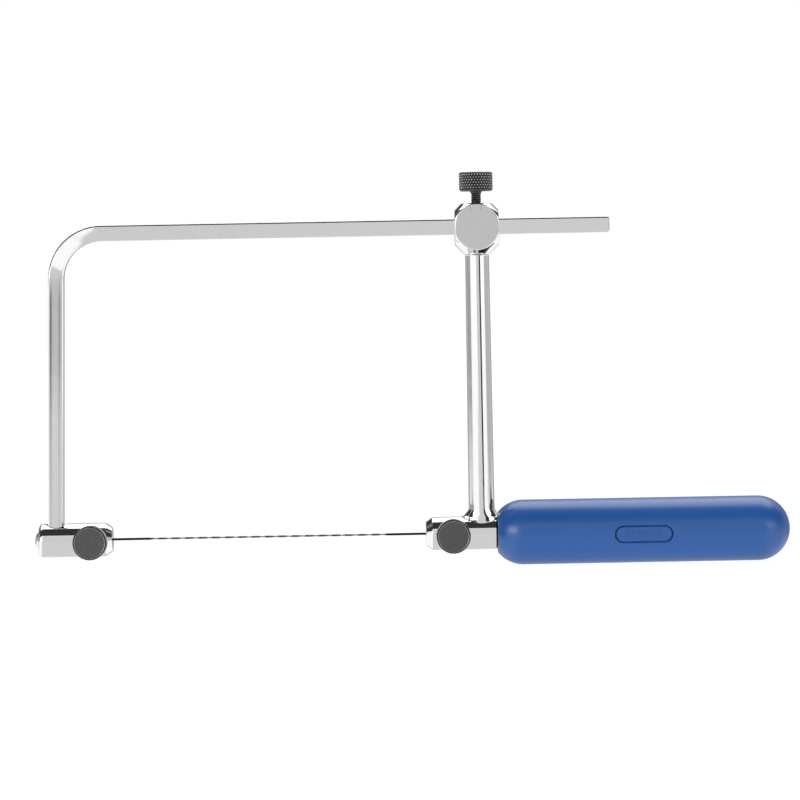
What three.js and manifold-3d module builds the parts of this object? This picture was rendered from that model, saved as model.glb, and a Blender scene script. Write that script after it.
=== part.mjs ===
// A coping saw whose frame adjusts for blade length. A square chromed bow slides through a block on
// top of a round stem. A spiral blade is stretched between two clamp barrels, one under the bow's leg
// and one under the stem, and each end is held by a knurled thumbscrew and a small pad. The handle is
// moulded onto the tang of the rear barrel.
//
// Millimetres. +X runs along the blade towards the butt of the handle, +Z points up to the bow, and the
// thumbscrews face -Y. The origin is the middle of the handle, which lies on the blade's own line.

import * as THREE from 'three';
import { mergeVertices } from 'three/addons/utils/BufferGeometryUtils.js';
import Module from 'manifold-3d';

// Handle: a capsule with a flat front face.
const HANDLE_LENGTH = 95;
const HANDLE_RADIUS = 10.5;
const HANDLE_FACE_RADIUS = 6.4;
const PANEL_LENGTH = 18.9;
const PANEL_HEIGHT = 5.6;
const PANEL_DEPTH = 0.7;
const PANEL_CENTRE = { along: -0.5, up: -0.6 };

// Stem: everything on the frame is placed from its axis, which stands in front of the handle.
const STEM_TO_HANDLE = 5;
const STEM_FOOT_RADIUS = 4.22;
const STEM_TOP_RADIUS = 3.9;
const FLARE_RADIUS = 6.8;
const FLARE_HEIGHT = 2.6;
const FLARE_PULL = { up: 0.55, out: 0.9 };
const STEM_TENON = { radius: 2.3, below: 2.6 };

// Bow: square bar, its bend, and its leg, which leans outwards a little towards the foot.
const BAR_SIDE = 5;
const BAR_EDGE_RADIUS = 0.65;
const BAR_HEIGHT = 99.5;
const BAR_OVERHANG = 43.1;
const BEND_RADIUS = 14.7;
const LEG_FOOT_REACH = 138.4;
const LEG_SPLAY = THREE.MathUtils.degToRad(1.03);
const LEG_FOOT_BELOW = 2.6;

// Slide head: a flat-sided block turned at its top and bottom, and turned again round its two faces.
const HEAD_WIDTH = 14.3;
const HEAD_DEPTH = 10;
const HEAD_TOP = 7.6;
const HEAD_TOP_RADIUS = 5;
const HEAD_SHOULDER_RADIUS = 8.9;
const HEAD_BOTTOM = 9.2;
const HEAD_FACE_RADIUS = 7.35;
const HEAD_FACE_CHAMFER = 2.2;
const HEAD_TENON = { radius: 2.4, height: 4.2 };

// Clamp barrels: how far their ends stand from the stem axis, and where their screws are.
const FRONT_BARREL_RADIUS = 5.45;
const FRONT_BARREL_OUTER_END = 143.9;
const FRONT_BARREL_ROUNDING = 1.5;
const FRONT_BARREL_INNER_END = 120;
const FRONT_SCREW_REACH = 126.4;
const REAR_BARREL_RADIUS = 5.35;
const REAR_BARREL_REACH = 18.2;
const REAR_SCREW_REACH = 9.45;
const REAR_SHOULDER_CHAMFER = 0.4;
const BARREL_CHAMFER = { along: 2.1, across: 1.5 };
const TANG_RADIUS = 3;
const TANG_END = 62;
const TANG_CHAMFER = 1;
const TANG_GROOVE = { depth: 0.4, pitch: 14, slope: 0.6, floor: 1.2 };

// Domed rivet in the outer end of the front barrel.
const RIVET_RADIUS = 1.9;
const RIVET_HEAD_RADIUS = 3.1;
const RIVET_HEAD_HEIGHT = 1.1;

// Blade: plain flat ends and a twisted middle.
const BLADE_LENGTH = 130;
const BLADE_WIDTH = 0.62;
const BLADE_THICKNESS = 0.3;
const BLADE_FRONT_REACH = 134.25;
const TWIST_LENGTH = 78;
const TWIST_TURNS = 9;
const BLADE_SEGMENTS = 200;

// Thumbscrews: one design used three times, measured from the tip.
const SCREW_RADIUS = 1.7;
const SCREW_TIP = { radius: 1, length: 0.8, taper: 0.5 };
const SCREW_SHANK = 7.9;
const SCREW_NECK = { height: 0.6, flare: 0.35 };
const KNOB_RADIUS = 5.5;
const KNOB_HEIGHT = 6.2;
const KNOB_CHAMFER = 0.8;
const PAD_RADIUS = 1.5;
const PAD_HEIGHT = 1.1;
const PAD_FLOOR = 0.5;

// Clearances, and how finely round things are cut.
const GAP = 0.3;
const SCREW_HOLE_RADIUS = SCREW_RADIUS + 0.15;
const BLADE_HOLE_RADIUS = 0.8;
const CUT_MARGIN = 2;
const COARSE_SIDES = 16;
const ROUND_SIDES = 36;
const FINE_SIDES = 48;
const WELD = 1e-4;

const ALONG_X = new THREE.Vector3(1, 0, 0);
const UP = new THREE.Vector3(0, 1, 0);
const at = (x, y, z) => new THREE.Vector3(x, y, z);

const wasm = await Module();
wasm.setup();

// ---- Solids: closed geometry to manifold and back ------------------------------------------------

function toSolid(geometry) {
  const plain = geometry.clone();
  plain.deleteAttribute('normal');
  plain.deleteAttribute('uv');
  const welded = mergeVertices(plain, WELD);
  const corners = [];
  for (let i = 0; i < welded.index.count; i += 3) {
    const [a, b, c] = [0, 1, 2].map((k) => welded.index.getX(i + k));
    if (a !== b && b !== c && c !== a) corners.push(a, b, c);
  }
  return new wasm.Manifold(new wasm.Mesh({
    numProp: 3,
    vertProperties: Float32Array.from(welded.attributes.position.array),
    triVerts: Uint32Array.from(corners),
  }));
}

function toGeometry(solid) {
  const mesh = solid.getMesh();
  const geometry = new THREE.BufferGeometry();
  geometry.setAttribute('position', new THREE.BufferAttribute(mesh.vertProperties, 3));
  geometry.setIndex(new THREE.BufferAttribute(mesh.triVerts, 1));
  geometry.computeVertexNormals();
  return geometry;
}

// A round bar between two points.
function rod(radius, start, end, sides = ROUND_SIDES) {
  const run = end.clone().sub(start);
  const geometry = new THREE.CylinderGeometry(radius, radius, run.length(), sides);
  geometry.applyQuaternion(new THREE.Quaternion().setFromUnitVectors(UP, run.normalize()));
  const middle = start.clone().lerp(end, 0.5);
  geometry.translate(middle.x, middle.y, middle.z);
  return toSolid(geometry);
}

// A turned shape about Z. The outline lists [distance along the axis, radius], from low to high.
function turned(outline, sides = ROUND_SIDES) {
  const points = outline.map(([along, radius]) => new THREE.Vector2(radius, along));
  return new THREE.LatheGeometry(points, sides).rotateX(Math.PI / 2);
}

// The same, about X.
function turnedAlongX(outline, sides) {
  return turned(outline, sides).rotateY(Math.PI / 2);
}

function block(width, depth, height, centre) {
  return toSolid(new THREE.BoxGeometry(width, depth, height).translate(centre.x, centre.y, centre.z));
}

// Outline points on an arc whose centre and angles are given as [along, radius] and degrees from +along.
function arcPoints(along, radius, size, fromDegrees, toDegrees, steps) {
  return Array.from({ length: steps + 1 }, (_, i) => {
    const angle = THREE.MathUtils.degToRad(THREE.MathUtils.lerp(fromDegrees, toDegrees, i / steps));
    return [along + size * Math.cos(angle), radius + size * Math.sin(angle)];
  });
}

// ---- Pieces --------------------------------------------------------------------------------------

// The leg's axis at a height above the blade.
function legAxis(height) {
  return at(-LEG_FOOT_REACH + height * Math.tan(LEG_SPLAY), 0, height);
}

// One bar, drawn as a flat outline and given its thickness and rounded edges by the extrusion.
function bowBar() {
  const half = BAR_SIDE / 2;
  const lean = { x: Math.sin(LEG_SPLAY), z: Math.cos(LEG_SPLAY) };
  const bendZ = BAR_HEIGHT - BEND_RADIUS;
  const tangentHeight = bendZ + BEND_RADIUS * lean.x;
  const bendX = legAxis(tangentHeight).x + BEND_RADIUS * lean.z;
  const foot = legAxis(-LEG_FOOT_BELOW);
  const legAngle = Math.PI - LEG_SPLAY;

  const outline = new THREE.Shape();
  outline.moveTo(BAR_OVERHANG, BAR_HEIGHT + half);
  outline.lineTo(bendX, BAR_HEIGHT + half);
  outline.absarc(bendX, bendZ, BEND_RADIUS + half, Math.PI / 2, legAngle, false);
  outline.lineTo(foot.x - half * lean.z, foot.z + half * lean.x);
  outline.lineTo(foot.x + half * lean.z, foot.z - half * lean.x);
  outline.absarc(bendX, bendZ, BEND_RADIUS - half, legAngle, Math.PI / 2, true);
  outline.lineTo(BAR_OVERHANG, BAR_HEIGHT - half);

  const depth = BAR_SIDE - 2 * BAR_EDGE_RADIUS;
  return new THREE.ExtrudeGeometry(outline, {
    depth,
    bevelThickness: BAR_EDGE_RADIUS,
    bevelSize: BAR_EDGE_RADIUS,
    bevelOffset: -BAR_EDGE_RADIUS,
    bevelSegments: 2,
    curveSegments: 14,
  }).translate(0, 0, -depth / 2).rotateX(Math.PI / 2);
}

// Blade passage, and the screw hole whose flat bottom is what the blade is clamped against.
function clampHoles(screwX, bladeFrom, bladeTo) {
  const passage = rod(BLADE_HOLE_RADIUS, at(bladeFrom, 0, 0), at(bladeTo, 0, 0), COARSE_SIDES);
  const anvil = BLADE_THICKNESS / 2 + GAP;
  const outside = -FRONT_BARREL_RADIUS - CUT_MARGIN;
  const screwHole = rod(SCREW_HOLE_RADIUS, at(screwX, outside, 0), at(screwX, anvil, 0));
  return passage.add(screwHole);
}

function frontClampBarrel() {
  const { along, across } = BARREL_CHAMFER;
  const roundedFrom = -FRONT_BARREL_OUTER_END + FRONT_BARREL_ROUNDING;
  const roundedBelow = FRONT_BARREL_RADIUS - FRONT_BARREL_ROUNDING;
  const body = toSolid(turnedAlongX([
    [-FRONT_BARREL_OUTER_END, 0],
    ...arcPoints(roundedFrom, roundedBelow, FRONT_BARREL_ROUNDING, 180, 90, 4),
    [-FRONT_BARREL_INNER_END - along, FRONT_BARREL_RADIUS],
    [-FRONT_BARREL_INNER_END, FRONT_BARREL_RADIUS - across],
    [-FRONT_BARREL_INNER_END, 0],
  ], FINE_SIDES));
  const cornerReach = Math.SQRT1_2 * BAR_SIDE - BAR_EDGE_RADIUS * (Math.SQRT2 - 1);
  const above = legAxis(FRONT_BARREL_RADIUS + CUT_MARGIN);
  const legHole = rod(cornerReach + GAP, legAxis(-LEG_FOOT_BELOW - GAP), above);
  const rivetHole = rod(RIVET_RADIUS + GAP, at(-FRONT_BARREL_OUTER_END - CUT_MARGIN, 0, 0), legAxis(0));
  return body
    .subtract(legHole)
    .subtract(rivetHole)
    .subtract(clampHoles(-FRONT_SCREW_REACH, -LEG_FOOT_REACH, -FRONT_BARREL_INNER_END + CUT_MARGIN));
}

// The rivet's shank bears on the bow's leg.
function bowEndRivet() {
  const headBack = -FRONT_BARREL_OUTER_END - GAP;
  const domeSize = (RIVET_HEAD_RADIUS ** 2 + RIVET_HEAD_HEIGHT ** 2) / (2 * RIVET_HEAD_HEIGHT);
  const halfAngle = THREE.MathUtils.radToDeg(Math.asin(RIVET_HEAD_RADIUS / domeSize));
  const domeCentre = headBack - RIVET_HEAD_HEIGHT + domeSize;
  const shankEnd = legAxis(0).x - BAR_SIDE / 2 - GAP;
  return turnedAlongX([
    ...arcPoints(domeCentre, 0, domeSize, 180, 180 - halfAngle, 5),
    [headBack, RIVET_RADIUS],
    [shankEnd, RIVET_RADIUS],
    [shankEnd, 0],
  ]);
}

// Rear barrel with the tang that the handle is moulded onto, turned from one bar.
function rearClampBarrel() {
  const { along, across } = BARREL_CHAMFER;
  const shoulder = STEM_TO_HANDLE - GAP;
  const { depth, pitch, slope, floor } = TANG_GROOVE;
  const grooves = [];
  for (let x = STEM_TO_HANDLE + pitch; x < TANG_END - pitch / 2; x += pitch) {
    grooves.push([x, TANG_RADIUS], [x + slope, TANG_RADIUS - depth]);
    grooves.push([x + slope + floor, TANG_RADIUS - depth], [x + 2 * slope + floor, TANG_RADIUS]);
  }
  const body = toSolid(turnedAlongX([
    [-REAR_BARREL_REACH, 0],
    [-REAR_BARREL_REACH, REAR_BARREL_RADIUS - across],
    [-REAR_BARREL_REACH + along, REAR_BARREL_RADIUS],
    [shoulder - REAR_SHOULDER_CHAMFER, REAR_BARREL_RADIUS],
    [shoulder, REAR_BARREL_RADIUS - REAR_SHOULDER_CHAMFER],
    [shoulder, TANG_RADIUS],
    ...grooves,
    [TANG_END - TANG_CHAMFER, TANG_RADIUS],
    [TANG_END, TANG_RADIUS - TANG_CHAMFER],
    [TANG_END, 0],
  ], FINE_SIDES));
  const holeFoot = at(0, 0, -STEM_TENON.below - GAP);
  const stemHole = rod(STEM_TENON.radius + GAP, holeFoot, at(0, 0, REAR_BARREL_RADIUS + CUT_MARGIN));
  return body
    .subtract(stemHole)
    .subtract(clampHoles(-REAR_SCREW_REACH, -REAR_BARREL_REACH - CUT_MARGIN, -STEM_TENON.radius));
}

// Round tapered stem. Its foot flares along the barrel only, is hollowed to sit over it, and is faced off
// where it meets the handle.
function stemPost() {
  const top = BAR_HEIGHT - HEAD_BOTTOM - GAP;
  const barrelTop = REAR_BARREL_RADIUS;
  const flareCurve = new THREE.QuadraticBezierCurve(
    new THREE.Vector2(barrelTop, FLARE_RADIUS),
    new THREE.Vector2(barrelTop + FLARE_PULL.up, STEM_FOOT_RADIUS + FLARE_PULL.out),
    new THREE.Vector2(barrelTop + FLARE_HEIGHT, STEM_FOOT_RADIUS),
  );
  const outline = turned([
    [barrelTop / 2, 0],
    [barrelTop / 2, FLARE_RADIUS],
    ...flareCurve.getPoints(7).map((p) => [p.x, p.y]),
    [top, STEM_TOP_RADIUS],
    [top, 0],
  ], FINE_SIDES);
  const points = outline.attributes.position;
  for (let i = 0; i < points.count; i += 1) {
    const radius = Math.hypot(points.getX(i), points.getY(i));
    if (radius > STEM_FOOT_RADIUS) points.setY(i, points.getY(i) * (STEM_FOOT_RADIUS / radius));
  }
  const saddleReach = FLARE_RADIUS + CUT_MARGIN;
  const saddle = rod(REAR_BARREL_RADIUS + GAP, at(-saddleReach, 0, 0), at(saddleReach, 0, 0), FINE_SIDES);
  const facedOff = block(saddleReach, 2 * saddleReach, 2 * saddleReach,
    at(STEM_TO_HANDLE - GAP + saddleReach / 2, 0, barrelTop));
  return toSolid(outline)
    .subtract(saddle)
    .subtract(facedOff)
    .add(rod(STEM_TENON.radius, at(0, 0, -STEM_TENON.below), at(0, 0, top / 2)))
    .add(rod(HEAD_TENON.radius, at(0, 0, top / 2), at(0, 0, top + HEAD_TENON.height)));
}

// Block that the bow slides through. Its own origin is the middle of the square passage.
function slideHead() {
  const coneTop = HEAD_SHOULDER_RADIUS - STEM_TOP_RADIUS - HEAD_BOTTOM;
  const capFoot = HEAD_TOP - (HEAD_SHOULDER_RADIUS - HEAD_TOP_RADIUS);
  const upright = toSolid(turned([
    [-HEAD_BOTTOM, 0],
    [-HEAD_BOTTOM, STEM_TOP_RADIUS],
    [coneTop, HEAD_SHOULDER_RADIUS],
    [capFoot, HEAD_SHOULDER_RADIUS],
    [HEAD_TOP, HEAD_TOP_RADIUS],
    [HEAD_TOP, 0],
  ], FINE_SIDES));
  const half = HEAD_DEPTH / 2;
  const widest = HEAD_FACE_RADIUS + HEAD_FACE_CHAMFER;
  const faces = toSolid(turned([
    [-half, 0],
    [-half, HEAD_FACE_RADIUS],
    [-half + HEAD_FACE_CHAMFER, widest],
    [half - HEAD_FACE_CHAMFER, widest],
    [half, HEAD_FACE_RADIUS],
    [half, 0],
  ], FINE_SIDES).rotateX(Math.PI / 2));
  const passage = BAR_SIDE + 2 * GAP;
  const socketFoot = at(0, 0, -HEAD_BOTTOM - CUT_MARGIN);
  const socketTop = at(0, 0, -HEAD_BOTTOM + HEAD_TENON.height);
  return block(HEAD_WIDTH, HEAD_DEPTH, 2 * (HEAD_TOP + HEAD_BOTTOM), at(0, 0, 0))
    .intersect(upright)
    .intersect(faces)
    .subtract(block(HEAD_WIDTH + CUT_MARGIN, passage, passage, at(0, 0, 0)))
    .subtract(rod(SCREW_HOLE_RADIUS, at(0, 0, 0), at(0, 0, HEAD_TOP + CUT_MARGIN)))
    .subtract(rod(HEAD_TENON.radius + GAP, socketFoot, socketTop));
}

// Flat strip twisted about its own length between two plain ends. Its own origin is its middle.
function spiralBlade() {
  const strip = new THREE.BoxGeometry(BLADE_LENGTH, BLADE_THICKNESS, BLADE_WIDTH, BLADE_SEGMENTS, 1, 1);
  const points = strip.attributes.position;
  const corner = new THREE.Vector3();
  for (let i = 0; i < points.count; i += 1) {
    corner.fromBufferAttribute(points, i);
    const share = THREE.MathUtils.clamp(corner.x / TWIST_LENGTH + 0.5, 0, 1);
    corner.applyAxisAngle(ALONG_X, share * TWIST_TURNS * 2 * Math.PI);
    points.setXYZ(i, corner.x, corner.y, corner.z);
  }
  return strip;
}

// Knurled thumbscrew with a turned-down tip, standing on its tip.
function thumbscrew() {
  const top = SCREW_SHANK + KNOB_HEIGHT;
  return turned([
    [0, 0],
    [0, SCREW_TIP.radius],
    [SCREW_TIP.length, SCREW_TIP.radius],
    [SCREW_TIP.length + SCREW_TIP.taper, SCREW_RADIUS],
    [SCREW_SHANK - SCREW_NECK.height, SCREW_RADIUS],
    [SCREW_SHANK, SCREW_RADIUS + SCREW_NECK.flare],
    [SCREW_SHANK, KNOB_RADIUS - KNOB_CHAMFER],
    [SCREW_SHANK + KNOB_CHAMFER, KNOB_RADIUS],
    [top - KNOB_CHAMFER, KNOB_RADIUS],
    [top, KNOB_RADIUS - KNOB_CHAMFER],
    [top, 0],
  ]);
}

// Pad that the screw's tip turns in, so that the blade or bar is pressed without being dragged round.
function clampPad() {
  const socket = SCREW_TIP.radius + GAP;
  return turned([
    [0, 0],
    [0, PAD_RADIUS],
    [PAD_HEIGHT, PAD_RADIUS],
    [PAD_HEIGHT, socket],
    [PAD_FLOOR, socket],
    [PAD_FLOOR, 0],
  ], COARSE_SIDES);
}

// Capsule handle, bored for the tang, with a shallow sunk panel on the thumbscrew side.
function handle() {
  const front = -HANDLE_LENGTH / 2;
  const rearCentre = HANDLE_LENGTH / 2 - HANDLE_RADIUS;
  const frontCentre = front + Math.sqrt(HANDLE_RADIUS ** 2 - HANDLE_FACE_RADIUS ** 2);
  const faceAngle = 180 - THREE.MathUtils.radToDeg(Math.asin(HANDLE_FACE_RADIUS / HANDLE_RADIUS));
  const body = toSolid(turnedAlongX([
    [front, 0],
    ...arcPoints(frontCentre, 0, HANDLE_RADIUS, faceAngle, 90, 8),
    ...arcPoints(rearCentre, 0, HANDLE_RADIUS, 90, 0, 12),
  ], FINE_SIDES));
  const boreEnd = TANG_END - STEM_TO_HANDLE + front + GAP;
  const panelEnd = (PANEL_LENGTH - PANEL_HEIGHT) / 2;
  const outline = new THREE.Shape();
  outline.absarc(panelEnd, 0, PANEL_HEIGHT / 2, -Math.PI / 2, Math.PI / 2, false);
  outline.absarc(-panelEnd, 0, PANEL_HEIGHT / 2, Math.PI / 2, 1.5 * Math.PI, false);
  const cut = { depth: HANDLE_RADIUS, bevelEnabled: false, curveSegments: 10 };
  const panel = new THREE.ExtrudeGeometry(outline, cut)
    .rotateX(Math.PI / 2)
    .translate(PANEL_CENTRE.along, PANEL_DEPTH - HANDLE_RADIUS, PANEL_CENTRE.up);
  return body
    .subtract(rod(TANG_RADIUS + GAP, at(front - CUT_MARGIN, 0, 0), at(boreEnd, 0, 0)))
    .subtract(toSolid(panel));
}

// ---- Materials and assembly ----------------------------------------------------------------------

const FINISHES = {
  chrome: { color: 0xd9dbdd, metalness: 1, roughness: 0.12 },
  blackOxide: { color: 0x2b2b2d, metalness: 0.6, roughness: 0.5 },
  bladeSteel: { color: 0x5a5b5d, metalness: 1, roughness: 0.4 },
  brass: { color: 0xb99a55, metalness: 1, roughness: 0.35 },
  bluePlastic: { color: 0x245aa5, metalness: 0, roughness: 0.35 },
};

function piece(name, shape, finish) {
  const geometry = shape.isBufferGeometry ? shape : toGeometry(shape);
  const mesh = new THREE.Mesh(geometry, new THREE.MeshStandardMaterial(FINISHES[finish]));
  mesh.name = name;
  return mesh;
}

// A thumbscrew and its pad. The group's +Z leaves the clamped surface, which is at its origin.
function clampSet(screwName, padName) {
  const set = new THREE.Group();
  const screw = piece(screwName, thumbscrew(), 'blackOxide');
  screw.position.z = GAP + PAD_FLOOR + GAP;
  const pad = piece(padName, clampPad(), 'brass');
  pad.position.z = GAP;
  set.add(screw, pad);
  return set;
}

function bladeClampSet(end, screwX) {
  const set = clampSet(`${end}_clamp_thumbscrew`, `${end}_clamp_pad`);
  set.position.set(screwX, -BLADE_THICKNESS / 2, 0);
  set.rotation.x = Math.PI / 2;
  return set;
}

const head = new THREE.Group();
head.position.z = BAR_HEIGHT;
const lockSet = clampSet('bow_lock_thumbscrew', 'bow_lock_pad');
lockSet.position.z = BAR_SIDE / 2;
head.add(piece('slide_head', slideHead(), 'chrome'), lockSet);

const blade = piece('spiral_blade', spiralBlade(), 'bladeSteel');
blade.position.x = BLADE_LENGTH / 2 - BLADE_FRONT_REACH;

const frame = new THREE.Group();
frame.position.x = -HANDLE_LENGTH / 2 - STEM_TO_HANDLE;
frame.add(
  piece('bow_bar', bowBar(), 'chrome'),
  piece('front_clamp_barrel', frontClampBarrel(), 'chrome'),
  piece('bow_end_rivet', bowEndRivet(), 'chrome'),
  bladeClampSet('front', -FRONT_SCREW_REACH),
  blade,
  piece('rear_clamp_barrel', rearClampBarrel(), 'chrome'),
  bladeClampSet('rear', -REAR_SCREW_REACH),
  piece('stem_post', stemPost(), 'chrome'),
  head,
);

const copingSaw = new THREE.Group();
copingSaw.add(frame, piece('handle', handle(), 'bluePlastic'));

export default copingSaw;
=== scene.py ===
"""The looks of an adjustable coping saw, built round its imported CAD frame.

Every detailed piece stands where its CAD node is. Shapes are worked out in millimetres and stored in
metres.
"""

import math

import bpy
import numpy as np
from mathutils import Matrix, Vector


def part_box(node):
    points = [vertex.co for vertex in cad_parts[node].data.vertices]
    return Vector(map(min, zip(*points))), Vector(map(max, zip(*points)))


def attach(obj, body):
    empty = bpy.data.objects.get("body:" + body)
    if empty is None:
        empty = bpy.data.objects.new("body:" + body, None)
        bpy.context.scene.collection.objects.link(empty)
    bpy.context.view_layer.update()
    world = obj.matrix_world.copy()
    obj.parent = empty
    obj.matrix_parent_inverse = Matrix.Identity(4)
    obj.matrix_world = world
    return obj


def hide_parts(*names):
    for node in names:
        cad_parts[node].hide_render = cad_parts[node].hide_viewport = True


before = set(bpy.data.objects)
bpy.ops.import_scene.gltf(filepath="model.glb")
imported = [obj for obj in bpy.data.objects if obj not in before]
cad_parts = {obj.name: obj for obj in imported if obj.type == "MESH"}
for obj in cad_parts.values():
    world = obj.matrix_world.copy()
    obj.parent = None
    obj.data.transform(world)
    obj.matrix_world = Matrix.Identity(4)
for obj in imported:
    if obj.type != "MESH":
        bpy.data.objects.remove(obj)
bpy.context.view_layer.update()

MM = 0.001
TAU = 2 * math.pi

# ---- Places, all from the frame, in millimetres --------------------------------------------------


def box_mm(node):
    low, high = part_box(node)
    return low / MM, high / MM


def middle(node):
    low, high = box_mm(node)
    return (low + high) / 2


HANDLE_LOW, HANDLE_HIGH = box_mm("handle")
BAR_LOW, BAR_HIGH = box_mm("bow_bar")
FRONT_LOW, FRONT_HIGH = box_mm("front_clamp_barrel")
REAR_LOW, REAR_HIGH = box_mm("rear_clamp_barrel")
HEAD_LOW, HEAD_HIGH = box_mm("slide_head")
STEM_LOW, STEM_HIGH = box_mm("stem_post")
BLADE_LOW, BLADE_HIGH = box_mm("spiral_blade")
RIVET_LOW, RIVET_HIGH = box_mm("bow_end_rivet")

STEM_X = middle("slide_head").x
BAR_SIDE = BAR_HIGH.y - BAR_LOW.y
BAR_Z = BAR_HIGH.z - BAR_SIDE / 2
HANDLE_RADIUS = HANDLE_HIGH.z

# ---- Sizes that the frame's boxes don't give, in millimetres -------------------------------------

FIT = 0.05
THREAD_FIT = 0.12
SEAM = 0.04
CUT_BEYOND = 3.0

BAR_FACET = (0.42, 0.27)
BAR_END_CHAMFER = 0.35
DRAWN_EVENLY = 0.06
DRAWN_BY_BEND = 0.125
BEND_RADIUS = 14.7
BEND_STEPS = 64
LEG_SPLAY = math.radians(1.03)
LEG_FOOT_X = STEM_X - 138.4
LEG_FOOT_BELOW = 2.6
# Painted shade: how much darker the leg's face is painted higher up, for a darker reflection.
LEG_FACE_PAINTED_SHADE = 0.1
# Painted dark reflection lines along the leg: (inset from the outer edge, width, strength low down,
# strength added higher up)
LEG_LINES = ((0.9, 0.34, 0.2, 0.55), (BAR_SIDE - 1.35, 0.26, 0.15, 0.35))

BARREL_CHAMFER = (2.1, 1.5)
SHOULDER_X = HANDLE_LOW.x - 0.4
COLLAR_DEPTH = 0.3
TANG_RADIUS = 3.0
TANG_GROOVE_SPACING = 14.0
TANG_GROOVE_WIDTH = 2.4
TANG_GROOVE_DEPTH = 0.4
TANG_GROOVE_SLOPE = 0.6

STEM_FOOT_RADIUS = 4.22
STEM_TOP_RADIUS = 3.9
STEM_TENON = 2.3
FLARE_RADIUS = 6.8
FLARE_HEIGHT = 2.6
FLARE_PULL = (0.55, 0.9)

HEAD_TENON = 2.4
HEAD_TOP_RADIUS = 5.0
HEAD_SHOULDER_RADIUS = 8.9
HEAD_FACE_RADIUS = 7.35
HEAD_CRISPNESS = 70
# Painted shade on the slide head's front face, for a darker reflection.
HEAD_FACE_PAINTED_SHADE = 0.15
PLUG_CENTRE_ABOVE = 6.0
PLUG_RADIUS = 1.75
PLUG_LINE_DEPTH = 0.028

LEG_HOLE_RADIUS = 3.57
LEG_HOLE_SHADE = 0.9
RIVET_SHANK = 1.9
BLADE_HOLE = 0.8
COUNTERSINK_DEPTH = 0.75
ANVIL_Y = 0.45

HANDLE_FACE_RADIUS = 6.4
HANDLE_RIM = 1.1
PANEL_LENGTH = 18.9
PANEL_HEIGHT = 5.6
PANEL_CENTRE = (-0.5, -0.6)
PANEL_FLOOR_Y = -9.9
PANEL_RIM = 0.24
PANEL_MOAT = (0.42, 0.9)
RIB_COUNT = 9
RIB_PITCH = 1.35
RIB_LENGTH = 1.9
RIB_WIDTH = 0.5

SCREW_RADIUS = 1.7
SCREW_PITCH = 0.6
THREAD_DEPTH = 0.3
SHANK_LENGTH = 7.9
KNOB_RADIUS = 5.5
KNOB_HEIGHT = 6.2
KNOB_TOP = SHANK_LENGTH + KNOB_HEIGHT
KNOB_BORDER = 0.75
KNURL_STARTS = 36
KNURL_DEPTH = 0.42
KNURL_FLAT = 0.75
KNURL_ANGLE = math.radians(30)

PAD_RADIUS = 1.5
PAD_SOCKET_RADIUS = 1.3

BLADE_HALF_WIDTH = 0.36
BLADE_HALF_THICKNESS = 0.15
BLADE_EDGE = 0.05
TWIST_LENGTH = 78.0
TWIST_TURNS = 9
TOOTH_PITCH = 0.55
TOOTH_DEPTH = 0.11
TOOTH_RISE = 0.7

# ---- The photographer's side: the camera in millimetres, the floor in metres ----------------------

CAMERA_X = -79.0
CAMERA_Z = 90.0
CAMERA_DISTANCE = 1150.0
CAMERA_ROLL = math.radians(1.04)
PICTURE_CENTRE = (-78.4, 43.6)
LENS = 159.2
SENSOR = 36.0

FLOOR_HALF = 3.0
FLOOR_BELOW_HANDLE = 0.25 * MM

# ---- Outlines ------------------------------------------------------------------------------------


def rounded_outline(corners, steps=6):
    """Points of a polyline whose corners are (u, v, fillet radius) with each fillet as an arc."""
    points = []
    for i, (u, v, radius) in enumerate(corners):
        here = Vector((u, v))
        if radius == 0 or i in (0, len(corners) - 1):
            points.append((u, v))
            continue
        back = (Vector(corners[i - 1][:2]) - here).normalized()
        onward = (Vector(corners[i + 1][:2]) - here).normalized()
        half = back.angle(onward) / 2
        reach = radius / math.tan(half)
        centre = here + (back + onward).normalized() * (radius / math.sin(half))
        first = here + back * reach - centre
        last = here + onward * reach - centre
        turn = first.angle_signed(last)
        for k in range(steps + 1):
            angle = -turn * k / steps
            arm = Matrix.Rotation(angle, 2) @ first
            points.append(tuple(centre + arm))
    return points


def spaced_outline(points, longest):
    """The same outline with long straight runs divided."""
    spaced = [points[0]]
    for a, b in zip(points, points[1:]):
        parts = max(1, math.ceil(math.dist(a, b) / longest))
        for k in range(1, parts + 1):
            spaced.append(tuple(p + (q - p) * k / parts for p, q in zip(a, b)))
    return spaced


def arc(along, off, size, start, stop, steps):
    """Outline points on a round stretch, its angles in radians from the +along direction."""
    angles = [start + (stop - start) * k / steps for k in range(steps + 1)]
    return [(along + size * math.cos(a), off + size * math.sin(a)) for a in angles]


def smooth_step(low, high, value):
    t = np.clip((value - low) / (high - low), 0, 1)
    return t * t * (3 - 2 * t)


def triangle_wave(turns):
    """0 at whole numbers, 1 halfway between them."""
    return 1 - np.abs(2 * (turns - np.floor(turns)) - 1)


# ---- Meshes --------------------------------------------------------------------------------------


def placed(origin, direction):
    """Matrix that takes a shape made about +Z at the origin to a place and a direction, in millimetres."""
    turn = Vector((0, 0, 1)).rotation_difference(Vector(direction)).to_matrix().to_4x4()
    return Matrix.Translation(Vector(origin)) @ turn


ALONG_X = (1, 0, 0)
UP = (0, 0, 1)
TO_FRONT = (0, -1, 0)


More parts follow.
